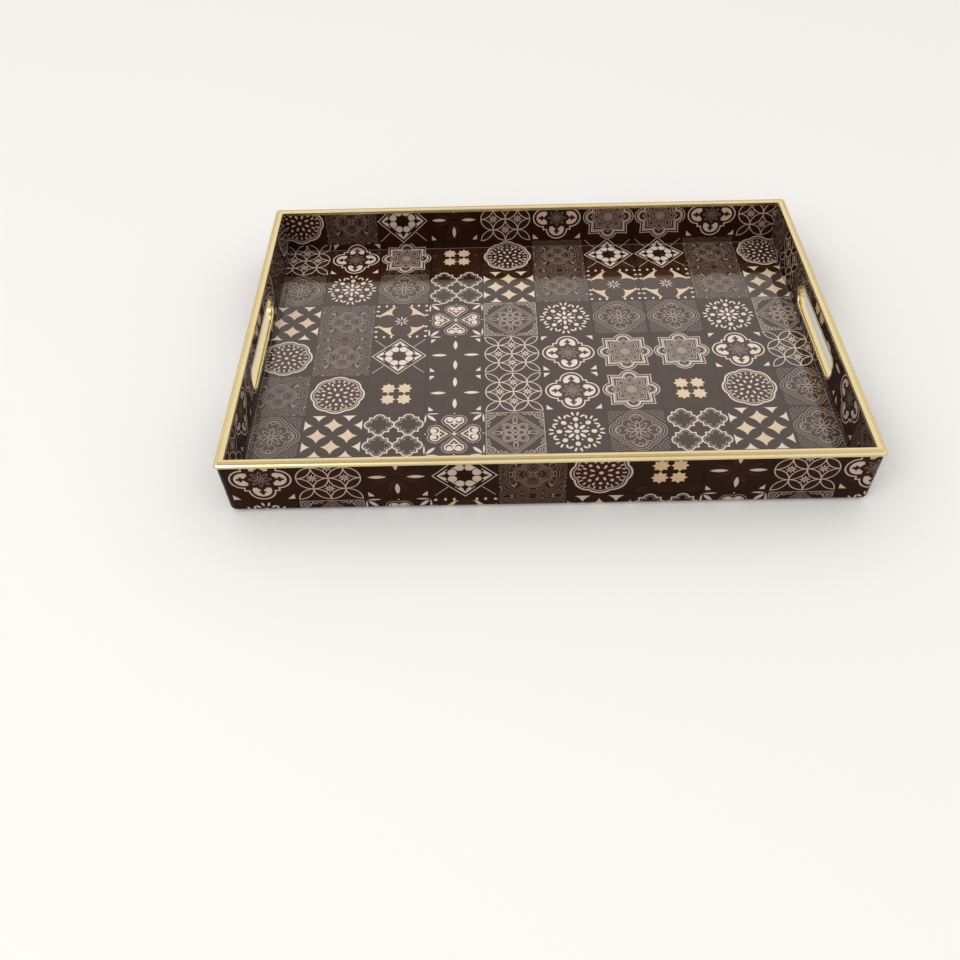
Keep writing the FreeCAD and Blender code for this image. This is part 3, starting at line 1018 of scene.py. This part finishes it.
def grown(tree, mesh, sizes):
    """Plain mesh that the tree makes of the given one."""
    holder = bpy.data.objects.new(tree.name, mesh)
    bpy.context.collection.objects.link(holder)
    modifier = holder.modifiers.new(tree.name, "NODES")
    modifier.node_group = tree
    for item in tree.interface.items_tree:
        if item.in_out == "INPUT" and item.name in sizes:
            modifier[item.identifier] = sizes[item.name]
    view = bpy.context.evaluated_depsgraph_get()
    made = bpy.data.meshes.new_from_object(holder.evaluated_get(view), depsgraph=view)
    bpy.data.objects.remove(holder)
    bm = bmesh.new()
    bm.from_mesh(made)
    bmesh.ops.remove_doubles(bm, verts=bm.verts, dist=WELD)
    for face in bm.faces:
        face.smooth = True
    closed(bm, made).set_sharp_from_angle(angle=TRIM_SHARP)
    return made


def outline(name, points):
    """Closed loop of edges to use as a section."""
    mesh = bpy.data.meshes.new(name)
    count = len(points)
    mesh.from_pydata([(x, y, 0) for x, y in points], [(i, (i + 1) % count) for i in range(count)], [])
    return mesh


print("tree helpers are ready")

# %% [markdown]
# ## The rim bead
# A gold strip stands on each rail, held by a tongue in the rail's groove, and the four meet in mitres. Its
# section has a round nose outside, a fine groove, and a flat land inside. The tree sweeps that section along
# a line, then moves every point to its place by the same rule as the rails' corners.

# %% The bead's section
BEAD_WIDTH = 6 * MM
RIM_CREST = 3 * MM
NOSE = 1 * MM
CREST_ROUND, INNER_ROUND, INNER_DROP = 3.25 * MM, 0.7 * MM, 0.25 * MM
FINE_GROOVE = [(2.70, 0.10), (2.84, 0.40), (3.16, 0.40), (3.30, 0.09)]
FLAT_LAND = [(3.48, 0.01), (4.2, 0.05), (5.0, 0.22)]


def bead_section():
    """Points of the bead's section, as (inset, height)."""
    points = arc(NOSE, WALL_TOP + NOSE, NOSE, 270, 180, 6)
    points += arc(RIM_CREST, HEIGHT - CREST_ROUND, CREST_ROUND, 157, 96, 8)
    points += [(inset * MM, HEIGHT - drop * MM) for inset, drop in FINE_GROOVE + FLAT_LAND]
    points += arc(BEAD_WIDTH - INNER_ROUND, HEIGHT - INNER_DROP - INNER_ROUND, INNER_ROUND, 84, 0, 6)
    return points + [(BEAD_WIDTH, WALL_TOP)] + GROOVE


print("bead section:", len(bead_section()), "points")


# %% The tree that mitres a bead
def mitred_bead_tree():
    """Sweeps a section of (-inset, -height) along +X, and mitres both ends round the corner's centre."""
    sizes = {title: "NodeSocketFloat" for title in ("Half Run", "Half Depth", "Corner Centre", "End Zone")}
    tree, given = new_tree("mitred_bead", {**sizes, "Steps": "NodeSocketInt"})
    half_run, centre, steps = given["Half Run"], given["Corner Centre"], given["Steps"]
    stations = steps.node("GeometryNodeMeshLine", {}, {
        "Count": steps * 2 + 2, "Start Location": vector(-0.5 - steps, steps * 0), "Offset": (1, 0, 0)})
    path = stations.node("GeometryNodeMeshToCurve", {}, {"Mesh": stations})
    section = given["Geometry"].node("GeometryNodeMeshToCurve", {}, {"Mesh": given["Geometry"]})
    swept = path.node("GeometryNodeCurveToMesh", {},
                      {"Curve": path, "Profile Curve": section, "Fill Caps": True})
    here = input_value(tree, "GeometryNodeInputPosition", "Position")
    x, inset, height = [here.node("ShaderNodeSeparateXYZ", {}, {0: here}, axis) for axis in (0, 1, 2)]
    step, radius, start = abs(x) - 0.5, (centre - inset) | 0.0, half_run - given["End Zone"]
    turn = ((step - 1) | 0.0) * math.radians(45) / (steps - 1)
    straight = start + (half_run - inset - start) * step / steps
    rounded = radius.math("GREATER_THAN", 0.001 * MM) * step.math("GREATER_THAN", 0.5)
    along = straight + (half_run - centre + radius * turn.math("SINE") - straight) * rounded
    across = inset + (centre - radius * turn.math("COSINE") - inset) * rounded
    place = x.node("ShaderNodeCombineXYZ", {},
                   {"X": x.math("SIGN") * along, "Y": across - given["Half Depth"], "Z": height})
    end_tree(swept.node("GeometryNodeSetPosition", {}, {"Geometry": swept, "Position": place}), given)
    return tree


# %% Make the four beads
BEAD_TREE = mitred_bead_tree()
for side in TURNS:
    half_run, half_depth = half_sizes(side)
    section = outline("bead_section", [(-inset, -height) for inset, height in bead_section()])
    mesh = grown(BEAD_TREE, section, {"Half Run": half_run, "Half Depth": half_depth,
                                      "Corner Centre": RIM_CREST, "End Zone": END_ZONE,
                                      "Steps": CORNER_STEPS, "Material": GOLD})
    mesh.transform(Matrix.Rotation(math.radians(TURNS[side]), 4, "Z"))
    finished("rim_bead_" + side, mesh, [], "gold_trim", "rim_trim_" + side)
    print(side, "bead:", len(mesh.polygons), "faces")

# %% [markdown]
# ## Slot liners
# Each hand slot has a thin gold ring pressed into it, with a narrow lip on the inside of the wall. A lathe
# can't make an oval, so the tree draws a rectangle, rounds its corners fully, and sweeps the ring's section
# round it. Only the two sizes of the oval have to be right for the ring to fit its slot.

# %% The tree of the oval ring
LINER_WALL, LIP_DEPTH = 0.8 * MM, 0.5 * MM
QUARTER_STEPS = 16


def oval_ring_tree():
    """Sweeps a section round an oval."""
    tree, given = new_tree("oval_ring", {"Width": "NodeSocketFloat", "Height": "NodeSocketFloat",
                                         "Steps": "NodeSocketInt"})
    width, height = given["Width"], given["Height"]
    square = width.node("GeometryNodeCurvePrimitiveQuadrilateral", {}, {"Width": width, "Height": height})
    path = square.node("GeometryNodeFilletCurve", {"mode": "POLY"},
                       {"Curve": square, "Count": given["Steps"], "Radius": height * 0.499})
    section = given["Geometry"].node("GeometryNodeMeshToCurve", {}, {"Mesh": given["Geometry"]})
    end_tree(path.node("GeometryNodeCurveToMesh", {}, {"Curve": path, "Profile Curve": section}), given)
    return tree


# %% Make the two liners
RING_TREE = oval_ring_tree()
lip_top = -WALL - LIP_DEPTH
ring_section = [(0, -WALL), (LIP_WIDTH - 0.15 * MM, -WALL), (LIP_WIDTH, -WALL - 0.12 * MM),
                (LIP_WIDTH, lip_top + 0.2 * MM), (LIP_WIDTH - 0.2 * MM, lip_top), (0, lip_top)]
ring_section += arc(0, -WALL, LIP_DEPTH, 270, 230, 3)[1:]
ring_section += [(-0.62 * MM, -WALL - 0.2 * MM), (-LINER_WALL, -WALL + 0.15 * MM),
                 (-LINER_WALL, -0.25 * MM), (-LINER_WALL + 0.1 * MM, -0.06 * MM),
                 (-LINER_WALL + 0.25 * MM, 0), (0, 0)]
for side in ("left", "right"):
    section = outline("ring_section", [(outward, -depth) for outward, depth in ring_section])
    mesh = grown(RING_TREE, section, {"Width": SLOT_LENGTH, "Height": SLOT_HEIGHT,
                                      "Steps": QUARTER_STEPS, "Material": GOLD})
    mesh.transform(wall_placement(side))
    finished("slot_liner_" + side, mesh, [], "gold_trim", "handle_liner_" + side)
    print(side, "liner:", len(mesh.polygons), "faces")

# %% [markdown]
# ## Brads, nails and feet
# Under the tray, brads pin the floor board to the ledges, V-shaped nails close the mitres, and four rubber
# feet keep the lacquer off the table. Each kind is one small shape repeated. The tree sets a copy on every
# point of a cloud, turned to face its own corner, which only the nails need.


# %% The tree that sets copies
def copies_tree():
    """Sets a copy of a shape on every point, turned towards the point's own corner."""
    tree, given = new_tree("copies", {"Shape": "NodeSocketObject"})
    here = input_value(tree, "GeometryNodeInputPosition", "Position")
    x, y = split(here)
    angle = y.math("SIGN").math("ARCTAN2", x.math("SIGN"))
    euler = angle.node("ShaderNodeCombineXYZ", {}, {"Z": angle})
    turn = euler.node("FunctionNodeEulerToRotation", {}, {0: euler})
    shape = given["Shape"].node("GeometryNodeObjectInfo", {}, {"Object": given["Shape"]}, "Geometry")
    end_tree(shape.node("GeometryNodeInstanceOnPoints", {}, {
        "Points": given["Geometry"], "Instance": shape, "Rotation": turn}), given)
    return tree


COPIES_TREE = copies_tree()


def repeated(name, shape_mesh, places, material, slot, *nodes):
    """One piece made of copies of a shape."""
    shape = bpy.data.objects.new(name + "_shape", shape_mesh)
    cloud = bpy.data.meshes.new(name)
    cloud.from_pydata(places, [], [])
    mesh = grown(COPIES_TREE, cloud, {"Shape": shape, "Material": material})
    bpy.data.objects.remove(shape)
    finished(name, mesh, [], slot, *nodes)
    print(name + ":", len(places), "copies,", len(mesh.polygons), "faces")


def lathed(points, segments):
    """Round shape from (radius, height) points in millimetres, closed at both ends."""
    bm = bmesh.new()
    turns = [math.tau * step / segments for step in range(segments)]
    rings = []
    for radius, height in points:
        rings.append([bm.verts.new((radius * MM * math.cos(t), radius * MM * math.sin(t), height * MM))
                      for t in turns])
    for low, high in zip(rings, rings[1:]):
        for step in range(segments):
            bm.faces.new((low[step], low[step - 1], high[step - 1], high[step]))
    bm.faces.new(rings[0])
    bm.faces.new(reversed(rings[-1]))
    return closed(bm, bpy.data.meshes.new("lathed"))


# %% Feet
def corners_at(inset, height):
    """The same place in all four corners."""
    return [(x * (LENGTH / 2 - inset), y * (WIDTH / 2 - inset), height) for x in (-1, 1) for y in (-1, 1)]


FOOT_NODES = [f"foot_bumper_{end}_{way}" for end in ("front", "back") for way in ("left", "right")]
foot_low, foot_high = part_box(FOOT_NODES[0])
foot_inset = LENGTH / 2 + (foot_low.x + foot_high.x) / 2
foot_outline = [(2.2, 0.5), (2.6, 0.15), (3.0, 0.0), (5.0, 0.0), (5.6, 0.15), (6.05, 0.5), (6.27, 1.05),
                (6.4, 1.8), (6.7, 3.6), (6.93, 5.1), (7.0, 5.38)]
foot = lathed(foot_outline, segments=40)
repeated("rubber_feet", foot, corners_at(foot_inset, 0), RUBBER, "rubber", *FOOT_NODES)


# %% Brads
def evenly(count, spacing):
    """Places along a line, spaced evenly about its middle."""
    return [(step - (count - 1) / 2) * spacing for step in range(count)]


BRAD_INSET = FLOOR_INSET + LEDGE / 2
brad_places = []
for way in (-1, 1):
    brad_places += [(x, way * (WIDTH / 2 - BRAD_INSET), RAIL_FOOT) for x in evenly(5, 75 * MM)]
    brad_places += [(way * (LENGTH / 2 - BRAD_INSET), y, RAIL_FOOT) for y in evenly(4, 55 * MM)]
brad_outline = [(0.28, -0.10), (0.42, -0.20), (0.85, -0.17), (1.12, -0.08), (1.2, 0.05), (1.2, 0.5),
                (0.6, 0.5), (0.6, 6.4)]
brad = lathed(brad_outline, segments=20)
repeated("floor_brad_heads", brad, brad_places, STEEL, "steel", "floor_brads")


# %% Nails across the mitres
def v_nail():
    """V-shaped fastener whose point faces its corner."""
    span, dip, thick, tall, proud = 3 * MM, 1.5 * MM, 0.5 * MM, 2.8 * MM, 0.06 * MM
    across = [(-span, 0), (0, -dip), (span, 0), (span, thick), (0, thick - dip), (-span, thick)]
    bm = bmesh.new()
    low = bm.faces.new([bm.verts.new((y, -x, -proud)) for x, y in across])
    raised = bmesh.ops.extrude_face_region(bm, geom=[low])
    top = [part for part in raised["geom"] if isinstance(part, bmesh.types.BMVert)]
    bmesh.ops.translate(bm, vec=(0, 0, tall), verts=top)
    return closed(bm, bpy.data.meshes.new("v_nail"))


NAIL_INSETS = (10 * MM, 14 * MM)
nail_places = [place for inset in NAIL_INSETS for place in corners_at(inset, RAIL_FOOT)]
repeated("mitre_nails", v_nail(), nail_places, STEEL, "steel", "corner_v_nails")

# %% The packed pieces that stay
for node, material in (("floor_board", FIBREBOARD), ("floor_backing", BACKING)):
    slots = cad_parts[node].data.materials
    slots.clear()
    slots.append(material)
    print(node, "keeps its shape and gets", material.name)

# %% [markdown]
# ## Studio and camera
# A product studio wraps the subject in soft white light, with one softbox a little stronger to model the
# edges, so that the lacquer mirrors a clean pale room. A glossy tray needs this more than most things,
# because half of what is seen of it is its surroundings.

# %% The table
TABLE_HALF = 6.0
table_mesh = bpy.data.meshes.new("studio_table")
corners = [(x * TABLE_HALF, y * TABLE_HALF, 0) for x, y in ((-1, -1), (1, -1), (1, 1), (-1, 1))]
table_mesh.from_pydata(corners, [], [(0, 1, 2, 3)])
table_top = bpy.data.objects.new("studio_table", table_mesh)
bpy.context.collection.objects.link(table_top)
paper, _, paper_shader = new_material("pale_paper")
paper_shader.inputs["Base Color"].default_value = (0.895, 0.90, 0.91, 1)
paper_shader.inputs["Roughness"].default_value = 0.8
paper_shader.inputs["Specular IOR Level"].default_value = 0.1
table_mesh.materials.append(paper)
print("table:", 2 * TABLE_HALF, "m square")

# %% The room's light
world = bpy.data.worlds.new("studio_room")
bpy.context.scene.world = world
world.use_nodes = True
background = world.node_tree.nodes["Background"]
sky = input_value(world.node_tree, "ShaderNodeTexCoord", "Generated")
height = sky.node("ShaderNodeSeparateXYZ", {}, {0: sky}, 2)
upper = mixed((0.60, 0.59, 0.575, 1), (1.0, 0.965, 0.91, 1), above(height, 0.34, soft=0.16))
feed(background, "Color", mixed(upper, (0.42, 0.385, 0.35, 1), above(height, 0.93, soft=0.09)))
background.inputs["Strength"].default_value = 1.05


def softbox(name, place, target, size, power):
    """Square area light that faces a point."""
    light = bpy.data.lights.new(name, "AREA")
    light.size, light.energy = size, power
    lamp = bpy.data.objects.new(name, light)
    lamp.location = place
    lamp.rotation_euler = (Vector(target) - Vector(place)).to_track_quat("-Z", "Y").to_euler()
    bpy.context.collection.objects.link(lamp)


softbox("key", place=(-1.1, -1.5, 1.7), target=(0, 0, 0), size=1.1, power=14)

# %% The camera
camera = bpy.data.objects.new("camera", bpy.data.cameras.new("camera"))
bpy.context.collection.objects.link(camera)
bpy.context.scene.camera = camera
camera.location = (-0.0343, -0.5965, 0.5152)
camera.rotation_euler = [math.radians(angle) for angle in (51.47, 1.388, -0.194)]
camera.data.sensor_width = 36
camera.data.lens = 41.37
camera.data.shift_x, camera.data.shift_y = 0.0056, -0.167
bpy.context.scene.view_settings.view_transform = "Standard"
print("camera looks from", tuple(round(part, 3) for part in camera.location))
